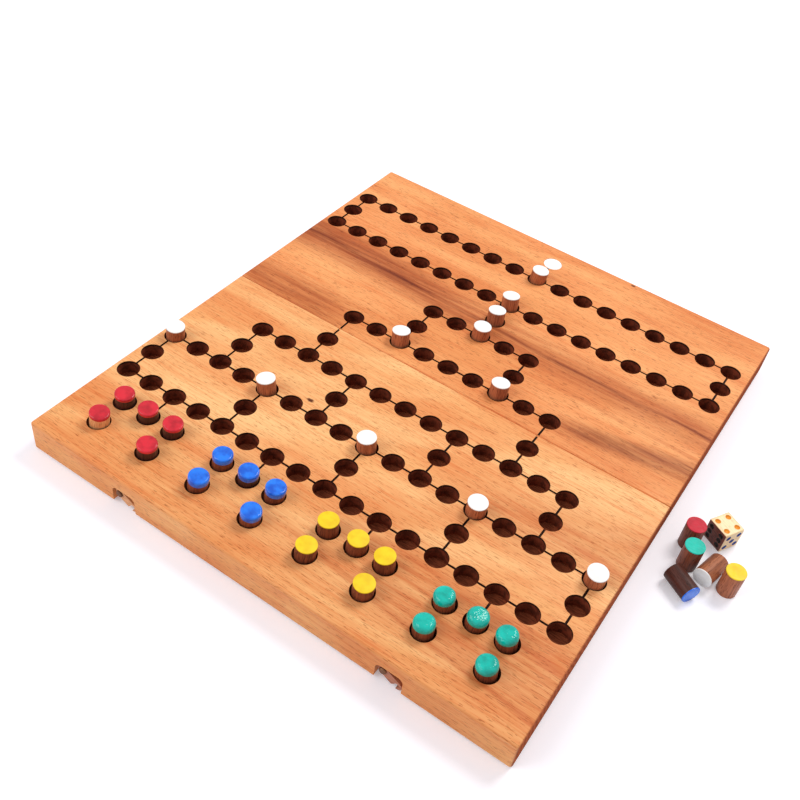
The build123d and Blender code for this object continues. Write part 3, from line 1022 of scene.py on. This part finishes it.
# %% Cut them and set the die in its place
only(die)
cut = die.modifiers.new("pips", "BOOLEAN")
cut.operation = "DIFFERENCE"
cut.solver = "EXACT"
cut.material_mode = "TRANSFER"
cut.object = cutter
bpy.ops.object.modifier_apply(modifier=cut.name)
bpy.data.objects.remove(cutter)
bpy.ops.object.shade_smooth_by_angle(angle=math.radians(30))
die_places = die.data.attributes.new("die_place", "FLOAT_VECTOR", "POINT")
for point, item in zip(die.data.vertices, die_places.data):
    item.vector = point.co / MM
die_low, die_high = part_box("die")
die_turn = Matrix.Rotation(math.radians(-29.0), 4, "Z")
die.data.transform(Matrix.Translation((die_low + die_high) / 2) @ die_turn)
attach(die, "die")
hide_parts("die")
print("die materials:", [m.name for m in die.data.materials])

# %% [markdown]
# ## Hooks, hinges and screws
#
# The latch hooks are bits of sanded wood in two tones. The hinges under the seam are plain stamped
# brass, a little dull and scratched along their length, on steel pins, and the screws are
# browned steel.


# %% Hook wood
def hook_finish(name, light, dark):
    material, wiring, shader = start_material(name)
    place = object_millimetres(wiring)
    grain = wiring.group(
        long_grain,
        Place=place,
        Light=light,
        Dark=dark,
        Pore=screen_colour(120, 66, 40),
        Wander=2.0,
        Figure_Width=4.0,
        Streak_Width=0.7,
        Pore_Length=2.5,
        Pore_Width=0.3,
    )
    wiring.feed(shader.inputs["Base Color"], grain["Color"])
    wiring.feed(shader.inputs["Roughness"], wiring.step(grain["Height"], -1.0, 0.0, 0.7, 0.5))
    wiring.feed(shader.inputs["Normal"], wiring.bump(grain["Height"], 0.3, 0.1 * MM))
    return material


for side, light, dark in (
    ("left", (240, 176, 120), (204, 132, 84)),
    ("right", (200, 126, 92), (156, 90, 64)),
):
    wood = hook_finish(f"{side}_hook_wood", screen_colour(*light), screen_colour(*dark))
    dress(f"latch_hook_{side}", wood)


# %% Metal
def metal_finish(name, colour, tarnish, roughness, scratch_axis):
    """Drawn or stamped metal: fine scratches one way, and blotches of tarnish."""
    material, wiring, shader = start_material(name)
    place = object_millimetres(wiring)
    blotch = wiring.noise(wiring.scaled(place, 0.35), detail=4.0, roughness=0.6)
    wiring.feed(shader.inputs["Base Color"], wiring.mix(wiring.step(blotch, 0.42, 0.7), colour, tarnish))
    scratches = wiring.noise(wiring.vector("MULTIPLY", place, scratch_axis), detail=3.0)
    low, high = roughness
    wiring.feed(shader.inputs["Roughness"], wiring.step(scratches, 0.3, 0.7, low, high))
    wiring.feed(shader.inputs["Normal"], wiring.bump(scratches, 0.15, 0.03 * MM))
    shader.inputs["Metallic"].default_value = 1.0
    return material


along_x = (0.2, 5.0, 5.0)
every_way = (2.0, 2.0, 2.0)
metals = {
    name: metal_finish(name, screen_colour(*clean), screen_colour(*tarnish), roughness, scratches)
    for name, clean, tarnish, roughness, scratches in (
        ("hinge_brass", (214, 178, 104), (160, 122, 66), (0.26, 0.44), along_x),
        ("pin_steel", (176, 176, 180), (130, 128, 126), (0.25, 0.4), along_x),
        ("screw_steel", (124, 88, 66), (88, 60, 46), (0.42, 0.58), every_way),
    )
}
for name in ("left", "right"):
    dress(f"hinge_{name}_near_leaf", metals["hinge_brass"])
    dress(f"hinge_{name}_far_leaf", metals["hinge_brass"])
    dress(f"hinge_{name}_pin", metals["pin_steel"])
for node in ("hinge_screws_near", "hinge_screws_far", "latch_pivot_screws", "latch_catch_screws"):
    dress(node, metals["screw_steel"])
